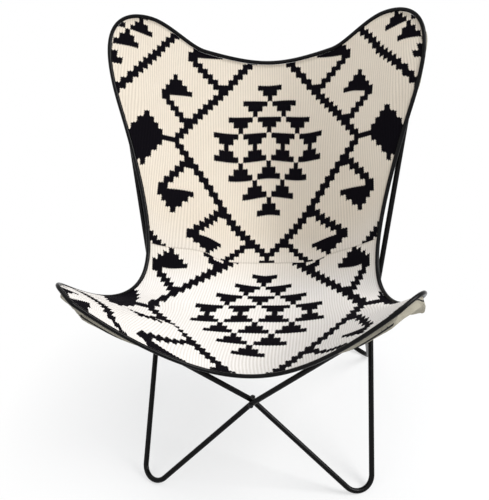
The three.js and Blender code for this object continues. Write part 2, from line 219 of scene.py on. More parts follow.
def crossing_normal(one, other, way):
    """Unit vector square to two rods that cross, on the side that a way points to."""
    normal = unit(np.cross(one, other))
    return normal * np.sign(normal @ way)


front_course = course(mirrored(FRONT_HORN), FRONT_CROSSING, FRONT_FOOT)
back_course = course(BACK_HORN, BACK_CROSSING, mirrored(BACK_FOOT))
FRONT_NORMAL = crossing_normal(front_course, mirrored(front_course), FORWARD)
BACK_NORMAL = crossing_normal(back_course, mirrored(back_course), -FORWARD)
SIDE_NORMAL = crossing_normal(
    course(FRONT_FOOT, SIDE_CROSSING, BACK_HORN), course(BACK_FOOT, SIDE_CROSSING, FRONT_HORN), RIGHTWARD
)


def loop_path(flip, apart):
    """Points and tangents of one closed rod loop: twice horn, crossing, foot and crossing, with arcs at
    these corners and straight runs between. At the crossings the loops stand apart by given distances."""
    at = mirrored if flip else np.copy
    half = -0.5 if flip else 0.5
    front = FRONT_CROSSING - FRONT_NORMAL * half * apart["front"]
    back = BACK_CROSSING + BACK_NORMAL * half * apart["back"]
    near = at(SIDE_CROSSING + SIDE_NORMAL * 0.5 * apart["side"])
    far = at(mirrored(SIDE_CROSSING - SIDE_NORMAL * 0.5 * apart["side"]))
    corners = [
        (at(mirrored(FRONT_HORN)), FRONT_HORN_BEND),
        (front, CROSSING_BEND),
        (foot_corner(at(FRONT_FOOT), front, near), FOOT_BEND),
        (near, CROSSING_BEND),
        (at(BACK_HORN), BACK_HORN_BEND),
        (back, CROSSING_BEND),
        (foot_corner(at(mirrored(BACK_FOOT)), back, far), FOOT_BEND),
        (far, CROSSING_BEND),
    ]
    bends = [
        bend(corners[i - 1][0], corner, corners[(i + 1) % len(corners)][0], radius)
        for i, (corner, radius) in enumerate(corners)
    ]
    points, tangents = [], []
    for (here, turning), (ahead, _) in zip(bends, bends[1:] + bends[:1]):
        count = int(np.linalg.norm(ahead[0] - here[-1]) / RUN_STEP)
        share = np.linspace(0, 1, count, endpoint=False)[1:, None]
        points += [here, here[-1] + (ahead[0] - here[-1]) * share]
        tangents += [turning, np.repeat(turning[-1:], len(share), axis=0)]
    return np.concatenate(points), np.concatenate(tangents)


def least_distance(first, second, crossing, around=4 * ROD, finer=12):
    """How near two paths come to each other around a crossing, with their steps cut into finer ones."""
    share = np.linspace(0, 1, finer, endpoint=False)[:, None]
    fine = []
    for path in (first, second):
        near = path[np.linalg.norm(path - crossing, axis=1) < around]
        fine.append((near[:-1, None] + np.diff(near, axis=0)[:, None] * share).reshape(-1, 3))
    return np.linalg.norm(fine[0][:, None] - fine[1], axis=-1).min()


def settled_loops(rounds=5):
    """The two loops, moved apart at their crossings until the rods clear each other there by the gap.
    Each is named for the side of its front horn."""
    crossings = {"front": FRONT_CROSSING, "back": BACK_CROSSING, "side": SIDE_CROSSING}
    apart = dict.fromkeys(crossings, ROD)
    for _ in range(rounds):
        paths = [loop_path(flip, apart)[0] for flip in (False, True)]
        for kind, crossing in crossings.items():
            apart[kind] += ROD + GAP - least_distance(*paths, crossing)
    return {"left_horn": loop_path(False, apart), "right_horn": loop_path(True, apart)}


loops = settled_loops()
rod_points = np.concatenate([points for points, _ in loops.values()])

# The frame's origin lies at the middle of its footprint, so depths move by this much.
rod_depths = loops["left_horn"][0][:, 1]
frame_depth = float(np.mean([corner[1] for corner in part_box("frame_loop_left_horn")])) / MILLIMETRE
shift = frame_depth - (rod_depths.min() + rod_depths.max()) / 2


# Sling surface.


def sling_point(across, along):
    """Underside of the woven face: from the centre line towards the side line by a share that grows as a
    hyperbola of across, with x in proportion to across."""
    across, along = np.asarray(across, float), np.asarray(along, float)
    t = along - PACE * np.sin(2 * np.pi * along) / (2 * np.pi)
    middle, side = drawn(CENTRE_LINE, CENTRE_WEIGHTS, t), drawn(SIDE_LINE, SIDE_WEIGHTS, t)
    dish = FRONT_DISH + (BACK_DISH - FRONT_DISH) * along
    share = (np.hypot(dish, across) - dish) / (np.hypot(dish, 1) - dish)
    point = middle + (side - middle) * share[..., None]
    point[..., 0] = side[..., 0] * across
    return point


def sling_normal(across, along, step=1e-3):
    """Unit vector square to the surface, on the sitter's side: one step across times one step along."""
    wide = sling_point(across + step, along) - sling_point(across - step, along)
    deep = sling_point(across, along + step) - sling_point(across, along - step)
    return unit(np.cross(wide, deep))


def lobe(start, corner, end, weight, count):
    """Rounded corner of the outline, a conic from start to end drawn towards the corner."""
    t = np.linspace(0, 1, count, endpoint=False)
    return drawn([np.array(start), np.array(corner), np.array(end)], [1, weight, 1], t)


def half_outline(front, front_lobe, side, back_lobe, top):
    """Right half of the outline as pairs of across and along, from the front lip to the top edge, with a
    number of points for each of its five parts."""
    lip, high = -BULGE, TOP_ALONG + LOBE_RISE
    on_lip = np.linspace(0, FRONT_LOBE_ACROSS, front, endpoint=False)
    on_side = np.linspace(FRONT_LOBE_ALONG, BACK_LOBE_ALONG, side, endpoint=False)
    on_top = np.linspace(LOBE_ACROSS, 0, top)
    return np.concatenate(
        [
            np.stack([on_lip, lip * smooth(on_lip, 0, FRONT_LOBE_ACROSS)], 1),
            lobe((FRONT_LOBE_ACROSS, lip), (1, lip), (1, FRONT_LOBE_ALONG), FRONT_LOBE_WEIGHT, front_lobe),
            np.stack([np.ones_like(on_side), on_side], 1),
            lobe((1, BACK_LOBE_ALONG), (1, high), (LOBE_ACROSS, high), BACK_LOBE_WEIGHT, back_lobe),
            np.stack([on_top, TOP_ALONG + LOBE_RISE * smooth(on_top, VALLEY_ACROSS, LOBE_ACROSS)], 1),
        ]
    )


def full_outline(*detail):
    """The right half of the outline and its mirror image, as one closed line."""
    right = half_outline(*detail)
    return np.concatenate([right, right[-2:0:-1] * [-1, 1]])


# Camera at the photograph's place, with its turn, dip and tilt in radians and its focus in pixels.
EYE = np.array([329.7, -1554.8, 1535.0])
TURN = -0.1949
DIP = 0.5229
TILT = 0.0829
FOCUS = 967.7
WIDTH = 489
HEIGHT = 500


def camera_axes():
    """Unit vectors to the camera's right, down and ahead: turned from +y, dipped and tilted."""
    level = np.array([math.sin(TURN), math.cos(TURN), 0.0])
    beside = np.array([math.cos(TURN), -math.sin(TURN), 0.0])
    ahead = level * math.cos(DIP) - [0, 0, math.sin(DIP)]
    below = -level * math.sin(DIP) - [0, 0, math.cos(DIP)]
    right = beside * math.cos(TILT) + below * math.sin(TILT)
    down = -beside * math.sin(TILT) + below * math.cos(TILT)
    return right, down, ahead


RIGHT, DOWN, AHEAD = camera_axes()


def pixels_of(points):
    """Where the camera sees a grid of points: sideways and down over the distance, times the focus."""
    side, drop, far = ((points - EYE) @ np.stack([RIGHT, DOWN, AHEAD], 1)).transpose(2, 0, 1)
    return np.stack([WIDTH / 2 + FOCUS * side / far, HEIGHT / 2 + FOCUS * drop / far], -1)


# Pixels of the photograph at which corners of the woven figures lie, by column and row of the weave's
# own steps. Each panel is counted from the middle of its large diamond, and its span is where it lies
# along the sling.
BACK_SPAN = (0.47, 0.9)
BACK_FIGURES = {
    (0, -11.5): (270, 86),
    (0, 0): (269, 146),
    (0, 11.5): (269, 215),
    (0, 19.5): (267, 257),
    (-5.5, -15.5): (243, 64.5),
    (5.5, -15.5): (295.5, 61.5),
    (-8.5, -11.5): (228, 85.5),
    (8.5, -11.5): (311.5, 84.5),
    (-14.5, -16.5): (198, 58),
    (14.5, -16.5): (341, 55),
    (-11.5, 0): (214, 146),
    (11.5, 0): (321, 144),
    (-19.5, 0): (175, 140),
    (19.5, 0): (358, 136),
    (-26, 0): (145, 135),
    (26, 0): (388, 130),
    (-19, -12.5): (176, 74),
    (19, -12.5): (360, 69),
    (-19, 12.5): (172, 212),
    (19, 12.5): (360, 210),
    (-26, -4.5): (147.5, 110.5),
    (26, -4.5): (386.5, 104),
    (-18.5, -19.5): (179.5, 39.5),
    (18.5, -19.5): (360, 36),
    (-22.5, -15.5): (161.5, 57),
    (22.5, -15.5): (375.5, 54),
    (-25.5, -12.5): (148, 70),
    (25.5, -12.5): (387, 62.5),
    (-29.5, -8.5): (125.5, 88.5),
    (29.5, -8.5): (409, 83),
    (-24.5, -18.5): (152, 37.5),
    (24.5, -18.5): (385.5, 31.5),
    (-29.5, -18.5): (130.5, 29),
    (29.5, -18.5): (406, 20.5),
    (-27.5, -15.5): (138.5, 49),
    (27.5, -15.5): (397.5, 42),
    (-32.5, -15.5): (113, 42.5),
    (32.5, -15.5): (421.5, 36.5),
    (-30.5, -12.5): (121.5, 64),
    (30.5, -12.5): (413.5, 57),
    (-9.5, 16.5): (221, 244),
    (9.5, 16.5): (312, 244),
    (-13, 20.5): (208, 253),
    (13, 20.5): (328, 254),
    (-20, 17.5): (164, 239),
    (20, 17.5): (364, 236),
}
SEAT_SPAN = (-BULGE, 0.6)
SEAT_FIGURES = {
    (0, -11.5): (265, 276),
    (0, 0): (257, 313),
    (0, 11.5): (247, 356),
    (-11.5, 0): (193, 313),
    (11.5, 0): (323, 310),
    (-19.5, 0): (150, 307),
    (19.5, 0): (363, 304),
    (-16.5, -3): (173, 293),
    (16.5, -3): (348, 293),
    (16.5, 3.5): (352, 316),
    (-9.75, -9.75): (216, 270),
    (9.75, -9.75): (312, 272),
    (-15.5, -8.5): (187, 268),
    (15.5, -8.5): (338, 268),
    (-22.5, -8.5): (152, 263),
    (22.5, -8.5): (370, 259),
    (-19, -12.5): (172, 248),
    (19, -12.5): (354, 245),
    (-9.5, 10): (191, 341),
    (9.5, 10): (310, 348),
    (-4, 15.5): (218, 364),
    (4, 15.5): (276, 372),
    (-21, -0.5): (141, 302.5),
    (-21, 0.5): (141, 306.5),
    (21, -0.5): (375, 299.5),
    (21, 0.5): (375, 304),
    (-25, 0): (128, 302),
    (25, 0): (390, 299),
    (15.5, 8.5): (342, 335.5),
    (22.5, 8.5): (373.5, 322.5),
    (19, 12.5): (363, 333),
    (11.5, 10.5): (319, 348),
    (13.5, 12.5): (332, 347.5),
    (16.5, 15.5): (346, 342.5),
    (14.5, 16.5): (337, 355),
    (25.5, 14): (389, 316.5),
}
# On the left wing the fold hides some rows of the seat, so its figures have their own places.
WING_SPAN = (-BULGE, 0.3)
WING_FIGURES = {
    (-22.5, 8.5): (127, 309),
    (-15.5, 8.5): (162, 322.5),
    (-19, 12.5): (139, 316.5),
    (-25.2, 14.3): (104, 306),
    (-21.2, 18.3): (119, 327),
    (-16.5, 15.5): (142, 330),
    (-16.5, 17.5): (136, 334),
    (-14.5, 16.5): (152, 341),
    (-9.5, 16.5): (186, 361),
    (-11.5, 10.5): (181, 339),
    (-9.5, 10): (191, 341),
    (-4, 15.5): (218, 364),
    (-27.5, 15.5): (90, 303.5),
    (-32.5, 15.5): (70, 297.5),
}


def places_at(pixels, span, wide=401, deep=301):
    """Across and along of the spots on the woven face that the camera sees nearest to some pixels, out
    of a fine grid of spots in a span along the sling."""
    across, along = np.meshgrid(np.linspace(-1, 1, wide), np.linspace(*span, deep))
    normal = sling_normal(across, along)
    face = sling_point(across, along) + FACE * normal
    hidden = ((EYE - face) * normal).sum(-1) < 0
    apart = np.linalg.norm(pixels_of(face)[:, :, None] - pixels, axis=-1) + WIDTH * hidden[..., None]
    nearest = apart.reshape(-1, len(pixels)).argmin(0)
    return np.stack([across.ravel()[nearest], along.ravel()[nearest]], 1)


def plate_terms(spots, ties, stretch=2.2, tiny=1e-9):
    """d^2 log d from each tie, a constant and the spot itself, with d stretched along the sling."""
    d = np.linalg.norm((spots[:, None] - ties) * [1, stretch], axis=-1)
    return np.concatenate([d * d * np.log(np.maximum(d, tiny)), np.ones((len(spots), 1)), spots], 1)


def woven_cells(figures, span, spots):
    """Column and row of a panel's weave at spots on the sling: the thin plate through its figures."""
    cells = np.array(list(figures), float)
    ties = places_at(np.array(list(figures.values()), float), span)
    known = plate_terms(ties, ties)
    balance = np.concatenate([known[:, -3:].T, np.zeros((3, 3))], 1)
    pull = np.linalg.solve(np.concatenate([known, balance]), np.concatenate([cells, np.zeros((3, 2))]))
    return plate_terms(spots, ties) @ pull


def weave_maps(spots):
    """Maps of spots on the sling: their cells in the weave of the back, the seat and the left wing, and
    themselves."""
    return {
        "back_cells": woven_cells(BACK_FIGURES, BACK_SPAN, spots),
        "seat_cells": woven_cells(SEAT_FIGURES, SEAT_SPAN, spots),
        "wing_cells": woven_cells(WING_FIGURES, WING_SPAN, spots),
        "sling": spots,
    }


# Meshes.


def add_piece(name, points, faces, material, maps=None):
    """A mesh piece from points in millimetres and arrays of faces, riding on the chair. Its faces are
    turned outwards: the sum of a . (b x c) over its triangles is negative where they look in."""
    places = (points + [0, shift, 0]) * MILLIMETRE
    triangles = np.concatenate([f[:, [0, i, i + 1]] for f in faces for i in range(1, f.shape[1] - 1)])
    a, b, c = (places[triangles[:, i]] for i in range(3))
    if (a * np.cross(b, c)).sum() < 0:
        faces = [f[:, ::-1] for f in faces]
    mesh = bpy.data.meshes.new(name)
    mesh.from_pydata(places.tolist(), [], sum((f.tolist() for f in faces), []))
    corner = np.empty(len(mesh.loops), np.int32)
    mesh.loops.foreach_get("vertex_index", corner)
    for key, uv in (maps or {}).items():
        layer = mesh.uv_layers.new(name=key)
        layer.data.foreach_set("uv", uv[corner].astype(np.float32).ravel())
    mesh.polygons.foreach_set("use_smooth", np.ones(len(mesh.polygons), bool))
    mesh.update()
    mesh.materials.append(material)
    piece = bpy.data.objects.new(name, mesh)
    bpy.context.scene.collection.objects.link(piece)
    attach(piece, "root")
    return piece


def both_skins(maps):
    """Maps of one skin of a piece, repeated for its other skin."""
    return {key: np.tile(spots, (2, 1)) for key, spots in maps.items()}


def quads(rows, columns, wrap_rows=False, wrap_columns=False):
    """Faces of a grid of rows and columns of points, closed round where it wraps."""
    ids = np.arange(rows * columns).reshape(rows, columns)
    if wrap_rows:
        ids = np.concatenate([ids, ids[:1]])
    if wrap_columns:
        ids = np.concatenate([ids, ids[:, :1]], axis=1)
    return np.stack([ids[:-1, :-1], ids[:-1, 1:], ids[1:, 1:], ids[1:, :-1]], -1).reshape(-1, 4)


def tube(points, spokes, others, radius, sides):
    """A round profile carried along a path: point + radius * (cos * spoke + sin * other)."""
    angle = np.linspace(0, 2 * np.pi, sides, endpoint=False)[None, :, None]
    ring = np.cos(angle) * spokes[:, None] + np.sin(angle) * others[:, None]
    return points[:, None] + radius * ring


def closed_tube(name, skin, material):
    """A piece from a tube's skin whose path comes back to its start."""
    faces = quads(*skin.shape[:2], wrap_rows=True, wrap_columns=True)
    return add_piece(name, skin.reshape(-1, 3), [faces], material)


def rod_loop(name, path, node, material):
    """A closed rod: its first spoke points to the middle of the chair, and its feet are flat."""
    points, tangents = path
    inward = CHAIR_MIDDLE - points
    spokes = unit(inward - (inward * tangents).sum(-1, keepdims=True) * tangents)
    skin = tube(points, spokes, np.cross(tangents, spokes), ROD / 2, ROD_SIDES)
    skin[..., 2] = np.maximum(skin[..., 2], 0)
    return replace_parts(closed_tube(name, skin, material), node)


def polar_places(outline, shares):
    """Across and along of rings that grow from the pole in the waist to the outline."""
    rings = POLE + (outline - POLE) * shares[:, None, None]
    return np.concatenate([POLE[None], rings.reshape(-1, 2)])


def polar_shell(rings, around):
    """Faces of two sheets of rings about a pole, one over the other, joined round the rim."""
    grid = quads(rings, around, wrap_columns=True) + 1
    first = np.arange(around) + 1
    fan = np.stack([np.zeros(around, int), first, np.roll(first, -1)], 1)
    count = 1 + rings * around
    last = first + (rings - 1) * around
    rim = np.stack([last, last + count, np.roll(last, -1) + count, np.roll(last, -1)], 1)
    return [fan[:, ::-1], fan + count, grid, grid[:, ::-1] + count, rim]


def fold_lift(across, along, outwards):
    """How far the cloth stands up along a wing's fold: a step that dies away from the fold to the lip,
    and that fades towards the middle and towards the edge."""
    ahead = np.minimum(FOLD_FOOT + FOLD_LEAN * np.abs(across), FOLD_ALONG) - along
    step = smooth(ahead, -FOLD_STEP, FOLD_STEP) * np.exp(-np.maximum(ahead, 0) / FOLD_FADE)
    return FOLD_HEIGHT * step * smooth(np.abs(across), *FOLD_BEGINS) * (1 - smooth(outwards, *FOLD_ENDS))


def rows_past_seam(back):
    """Rows by which cells of the back lie past the seam, which rises as the cube of the column."""
    return back[:, 1] - SEAM_ROW + SEAM_RISE * np.abs(back[:, 0] / SEAM_HALF_WIDTH) ** 3


def sling_layer(name, low, high, rings, outline, material, crease=0.0):
    """One layer of the sling between two heights over the face's underside, in rings about the pole. It
    stands up along the wings' folds, and its upper skin sinks in a bell curve along the seam and towards
    the piping."""
    shares = np.linspace(0, 1, rings + 1)[1:] ** RING_CROWDING
    spots = polar_places(outline, shares)
    across, along = spots.T
    outwards = np.concatenate([[0], np.repeat(shares, len(outline))])
    maps = weave_maps(spots)
    normal = sling_normal(across, along)
    base = sling_point(across, along) + normal * fold_lift(across, along, outwards)[:, None]
    bell = np.exp(-((rows_past_seam(maps["back_cells"]) / SEAM_SPREAD) ** 2))
    sunk = crease * (bell + EDGE_SINK * smooth(outwards, *EDGE_BAND))
    skins = [base + normal * (high - sunk)[:, None], base + normal * low]
    faces = polar_shell(rings, len(outline))
    return add_piece(name, np.concatenate(skins), faces, material, both_skins(maps))


def edge_piping(name, outline, material):
    """Round piping carried along the sling's edge, its centre one radius and a gap outside the cloth."""
    across, along = outline.T
    edge, normal = sling_point(across, along), sling_normal(across, along)
    tangent = unit(np.roll(edge, -1, 0) - np.roll(edge, 1, 0))
    out = unit(np.cross(tangent, normal))
    centre = edge + out * (PIPING / 2 + GAP) + normal * (FACE - LINING) / 2
    skin = tube(centre, out, np.cross(tangent, out), PIPING / 2, PIPING_SIDES)
    return closed_tube(name, skin, material)


def tent_depth(points, normals):
    """How far a pocket stands off the lining: the highest of the tents over the rods' points behind it,
    each as high as the rod lies deep plus a ridge that falls away by its slope."""
    pole = sling_point(*POLE)
    away = rod_points - points[:, None]
    below = -(away * normals[:, None]).sum(-1)
    sideways = np.linalg.norm(away + normals[:, None] * below[..., None], axis=-1)
    from_pole = np.linalg.norm(points - pole, axis=-1)[:, None]
    slope = np.where(np.linalg.norm(rod_points - pole, axis=-1) < from_pole, STEEP, GENTLE)
    tent = below + np.minimum(RIDGE, RIDGE * np.hypot(1, slope) - slope * sideways)
    tent[np.linalg.norm(away, axis=-1) > FEELER_REACH] = GAP
    return np.maximum(tent.max(1), GAP)


def pulled_taut(depth, pulls):
    """Cloth drawn tight: each pull takes the larger of its depth and the mean of its four neighbours,
    with the sewn edge held down."""
    for _ in range(pulls):
        wide = np.pad(depth, 1, mode="edge")
        mean = (wide[:-2, 1:-1] + wide[2:, 1:-1] + wide[1:-1, :-2] + wide[1:-1, 2:]) / 4
        depth = np.maximum(depth, mean)
        depth[:, 0] = SEWN_GAP
    return depth


def double_sheet(rows, columns):
    """Faces of two grids of points, one over the other, joined round their rim."""
    total = rows * columns
    grid = quads(rows, columns)
    ids = np.arange(total).reshape(rows, columns)
    rim = np.concatenate([ids[:, 0], ids[-1, 1:], ids[-2::-1, -1], ids[0, -2:0:-1]])
    ahead = np.roll(rim, -1)
    return [grid[:, ::-1], grid + total, np.stack([rim, ahead, ahead + total, rim + total], 1)]


def pocket_maps(edge, cloth):
    """Maps in metres of a pocket's cloth: along its edge and down from the edge, and along it and up
    from the mouth, both measured round the cloth."""
    run = np.cumsum(np.linalg.norm(np.diff(edge, axis=0, prepend=edge[:1]), axis=1))
    run = np.repeat(run, cloth.shape[1])
    down = np.linalg.norm(np.diff(cloth, axis=1, prepend=cloth[:, :1]), axis=-1).cumsum(1)
    lengths = {"thread": down, "hem": down[:, -1:] - down}
    return {key: np.stack([run, length.ravel()], 1) * MILLIMETRE for key, length in lengths.items()}


def horn_pocket(name, stretch, reach, pulls, node, material):
    """Canvas hood under one lobe: rows that run in from a stretch of the edge by reach times a bulge,
    each standing off the lining by the tent over the rods, pulled taut and closed up at both ends."""
    count = len(stretch)
    bulge = np.sin(np.pi * (np.arange(count) + 0.5) / count)[:, None] ** POCKET_ROUNDNESS
    edge = sling_point(*stretch.T)
    inset = POCKET_INSET + POCKET_ROWS * reach * bulge
    share = 1 - inset / np.linalg.norm(edge - sling_point(*POLE), axis=-1)[:, None]
    across, along = (POLE + (stretch - POLE)[:, None] * share[..., None]).reshape(-1, 2).T
    normal = sling_normal(across, along)
    under = sling_point(across, along) - normal * (GAP + LINING)
    depth = pulled_taut(tent_depth(under, normal).reshape(inset.shape), pulls)
    depth = SEWN_GAP + (depth - SEWN_GAP) * smooth(bulge, 0, POCKET_END)
    upper = under - normal * depth.reshape(-1, 1)
    lower = upper - normal * POCKET
    maps = both_skins(pocket_maps(edge, upper.reshape(*inset.shape, 3)))
    faces = double_sheet(*inset.shape)
    piece = add_piece(name, np.concatenate([upper, lower]), faces, material, maps)
    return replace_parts(piece, node)


def pocket_pair(end, stretch, reach, pulls, material):
    """The right pocket of one end of the sling and its mirror image."""
    sides = {"right": stretch, "left": stretch[::-1] * [-1, 1]}
    return [
        horn_pocket(f"{end}_{side}_hood", edge, reach, pulls, f"{end}_{side}_pocket", material)
        for side, edge in sides.items()
    ]


# Shader maths.


class Value:
    """A shader socket. Arithmetic adds Math nodes; of two values | is the larger and & the smaller."""

    def __init__(self, nodes, socket):
        self.nodes, self.socket = nodes, socket

    def math(self, operation, *others):
        """A Math node of this value and others."""
        return self.nodes.add("ShaderNodeMath", {"operation": operation}, dict(enumerate((self, *others))))

    def __add__(self, other):
        return self.math("ADD", other)

    __radd__ = __add__

    def __mul__(self, other):
        return self.math("MULTIPLY", other)

    __rmul__ = __mul__

    def __sub__(self, other):
        return self.math("SUBTRACT", other)

    def __rsub__(self, other):
        return self * -1 + other

    def __truediv__(self, other):
        return self.math("DIVIDE", other)

    def __rtruediv__(self, other):
        return self.math("POWER", -1) * other

    def __gt__(self, other):
        return self.math("GREATER_THAN", other)

    def __lt__(self, other):
        return self.math("LESS_THAN", other)

    def __or__(self, other):
        return self.math("MAXIMUM", other)

    __ror__ = __or__

    def __and__(self, other):
        return self.math("MINIMUM", other)

    __rand__ = __and__

    def __abs__(self):
        return self.math("ABSOLUTE")

    def whole(self):
        """The whole number nearest to it."""
        return (self + 0.5).math("FLOOR")

    def within(self, low, high):
        """1 where a whole number lies from low to high, and 0 elsewhere."""
        return abs(self - (low + high) / 2) < (high - low) / 2 + 0.5

    def wave(self, count):
        """Rises from 0 to 1 and falls back a number of times in each unit."""
        return (self * count).math("PINGPONG", 0.5) * 2

    def share(self):
        """Held between 0 and 1."""
        return (self | 0.0) & 1.0


class Nodes:
    """A node tree that starts empty and gets its nodes one at a time."""

    def __init__(self, tree):
        self.tree = tree
        tree.nodes.clear()

    def add(self, kind, settings=None, sockets=None, outlet=0):
        """One outlet of a new node of a kind, with its settings and then its sockets' values or links."""
        node = self.tree.nodes.new(kind)
        for key, setting in (settings or {}).items():
            setattr(node, key, setting)
        for key, value in (sockets or {}).items():
            if isinstance(value, Value):
                self.tree.links.new(value.socket, node.inputs[key])
            else:
                node.inputs[key].default_value = (*value, 1) if isinstance(value, tuple) else value
        return Value(self, node.outputs[outlet]) if node.outputs else None

    def choice(self, share, first, second):
        """Shader from first to second by a share."""
        return self.add("ShaderNodeMixShader", None, {0: share, 1: first, 2: second})

    def seen(self):
        """1 where the camera looks, also in a reflection or through glass, and 0 for other light."""
        rays = ("Is Camera Ray", "Is Glossy Ray", "Is Transmission Ray")
        camera, gloss, glass = (self.add("ShaderNodeLightPath", outlet=ray) for ray in rays)
        return camera | gloss | glass


class Finish(Nodes):
    """A material's nodes."""

    def __init__(self, name):
        self.material = bpy.data.materials.new(name)
        self.material.use_nodes = True
        super().__init__(self.material.node_tree)

    def place(self):
        """Where a spot lies, in metres."""
        return self.add("ShaderNodeTexCoord", outlet="Object")

    def uv(self, name):
        """The two numbers of one of the piece's own maps."""
        spot = self.add("ShaderNodeUVMap", {"uv_map": name})
        return [self.add("ShaderNodeSeparateXYZ", None, {0: spot}, outlet) for outlet in ("X", "Y")]

    def noise(self, scale, detail, rough=0.5):
        """Soft noise about 0.5, with a scale in patches to the metre."""
        sockets = {"Vector": self.place(), "Scale": scale, "Detail": detail, "Roughness": rough}
        return self.add("ShaderNodeTexNoise", None, sockets)

    def blend(self, share, first, second):
        """Colour from first to second by a share."""
        sockets = {"Factor": share, 6: first, 7: second}
        return self.add("ShaderNodeMix", {"data_type": "RGBA"}, sockets, outlet=2)

    def bump(self, height, distance, strength):
        """Normal of a skin that stands out by a distance in metres where the height is 1."""
        sockets = {"Height": height, "Distance": distance, "Strength": strength}
        return self.add("ShaderNodeBump", None, sockets)

    def done(self, **sockets):
        """The material, with a Principled shader of these sockets as its surface."""
        named = {key.replace("_", " "): value for key, value in sockets.items()}
        return self.surfaced(self.add("ShaderNodeBsdfPrincipled", None, named))

    def surfaced(self, shader):
        """The material, with a shader as its surface."""
        self.add("ShaderNodeOutputMaterial", None, {"Surface": shader})
        return self.material


# Finishes. Tones are pairs of colours between which a finish varies.

COAT_TONES = ((0.001, 0.001, 0.0012), (0.0028, 0.0028, 0.0032))
STEEL_TONES = ((0.006, 0.006, 0.007), (0.022, 0.022, 0.024))
HIDE_TONES = ((0.001, 0.001, 0.0013), (0.003, 0.003, 0.0036))
CANVAS_TONES = ((0.29, 0.265, 0.205), (0.44, 0.41, 0.33))
TAPE_BLACK = (0.006, 0.006, 0.007)
# Cream of the back, and a paler cream for the seat that is painted light: it stands in for the brighter
# light that falls on the seat.
WARM_CREAM = ((0.74, 0.65, 0.53), (0.88, 0.8, 0.68))
LIT_SEAT_CREAM = ((0.8, 0.77, 0.74), (0.92, 0.9, 0.87))
# Painted shade: a brown that the cream turns to in the ribs' hollows and in the seam's furrow.
HOLLOW_SHADE_BROWN = (0.38, 0.32, 0.26)
WOOL_BLACK = ((0.0015, 0.0012, 0.002), (0.006, 0.005, 0.0075))

# Canvas: pairs of threads to the metre of a pocket and to a cell of the lining, and in metres the
# pocket's sewn line, its half width, and the binding of its mouth.
POCKET_THREADS = 700
LINING_WARP = 7
LINING_WEFT = 8
SEWN_LINE = 0.0095
SEWN_HALF_WIDTH = 0.0017
BINDING = 0.008

# Weave of the kilim: ribs to a column, picks and teeth to a row, and how far the figures' sides and ends
# are toothed, in columns and in rows.
RIBS = 2
PICKS = 9
TEETH = 3
SIDE_TOOTH = 0.16
END_TOOTH = 0.22

# Figures of the kilim, in whole columns and rows from the middle of a large diamond. First the medallion's
# bands of trapezoids, the middle of the next medallion, and the column from which that one shows.
BAND = 3
MEDALLION_HALF_WIDTH = 9.5
NEXT_COLUMN = 36
NEXT_ROW = 21
NEXT_FROM = 16
# Column plus row on the stepped sides of the diamonds.
DIAMOND_SIDES = (19, 39)
# Stems of the hooks by column minus row, first row and last row, and their heads by tip column and base row.
HOOK_STEMS = ((13, 4, 8), (-1, 11, 16), (-13, 17, 23))
HOOK_HEADS = ((19, 9), (13, 17))
HOOK_HEIGHT = 3
# The small diamond at the side with the bar that reaches it, and the joint where two large diamonds meet.
SIDE_BAR = (19, 22)
SIDE_DIAMOND = 26
SIDE_DIAMOND_REACH = 4
TIP_COLUMNS = (0, 1)
TIP_ROW = 21


def rod_finish():
    """Satin black powder coat with a fine orange-peel skin."""
    coat = Finish("powder_coat")
    peel = coat.noise(scale=900, detail=2)
    cloud = coat.noise(scale=14, detail=3)
    return coat.done(
        Base_Color=coat.blend(cloud, *COAT_TONES),
        Roughness=cloud * 0.08 + 0.2,
        Specular_IOR_Level=0.1,
        Normal=coat.bump(peel, distance=0.0002, strength=0.2),
    )


def fastener_finish():
    """Blackened steel, a little worn."""
    steel = Finish("black_steel")
    worn = steel.noise(scale=260, detail=4)
    tone = steel.blend(worn, *STEEL_TONES)
    return steel.done(Base_Color=tone, Metallic=0.85, Roughness=worn * 0.2 + 0.28)


def piping_finish():
    """Black leather-like piping with a soft gloss and fine grain."""
    hide = Finish("piping_hide")
    grain = hide.noise(scale=420, detail=4, rough=0.6)
    cloud = hide.noise(scale=30, detail=3)
    return hide.done(
        Base_Color=hide.blend(cloud, *HIDE_TONES),
        Roughness=cloud * 0.1 + 0.2,
        Specular_IOR_Level=0.1,
        Normal=hide.bump(grain, distance=0.0002, strength=0.2),
    )


def plain_weave(canvas, warp, weft):
    """Tone and normal of olive-grey canvas, which stands out where its warp and weft are both high and is
    painted lighter there, a painted highlight on the raised threads.
    """
    weave = warp * weft
    cloud = canvas.noise(scale=22, detail=4)
    # Painted highlight: the tone is lighter where the threads stand out.
    tone = canvas.blend(cloud * 0.7 + weave * 0.3, *CANVAS_TONES)
    return tone, canvas.bump(weave, distance=0.0006, strength=0.5)


def pocket_finish():
    """Canvas on the pocket's own threads, with a black line near its edge and a black bound mouth."""
    canvas = Finish("pocket_canvas")
    run, from_edge = canvas.uv("thread")
    _, from_mouth = canvas.uv("hem")
    tone, normal = plain_weave(canvas, run.wave(POCKET_THREADS), from_edge.wave(POCKET_THREADS))
    tape = (abs(from_edge - SEWN_LINE) < SEWN_HALF_WIDTH) | (from_mouth < BINDING)
    return canvas.done(Base_Color=canvas.blend(tape, tone, TAPE_BLACK), Roughness=0.92, Normal=normal)


def lining_finish():
    """The same canvas as the pockets, read on the cells of the back."""
    canvas = Finish("lining_canvas")
    column, row = canvas.uv("back_cells")
    tone, normal = plain_weave(canvas, column.wave(LINING_WARP), row.wave(LINING_WEFT))
    return canvas.done(Base_Color=tone, Roughness=0.92, Normal=normal)


def medallion(column, row):
    """Stacked trapezoids: bands of three rows, 1, 3 and 5 columns wide, that stand six columns apart and
    shift by three from band to band, with fewer of them in each band away from the middle."""
    band = (row / BAND).math("FLOOR")
    half_width = row - band * BAND
    even = 1 - band.math("MODULO", 2)
    aside = (column + even * BAND).math("PINGPONG", BAND)
    return (aside < half_width + 0.5) & (column < MEDALLION_HALF_WIDTH - band * BAND + half_width)


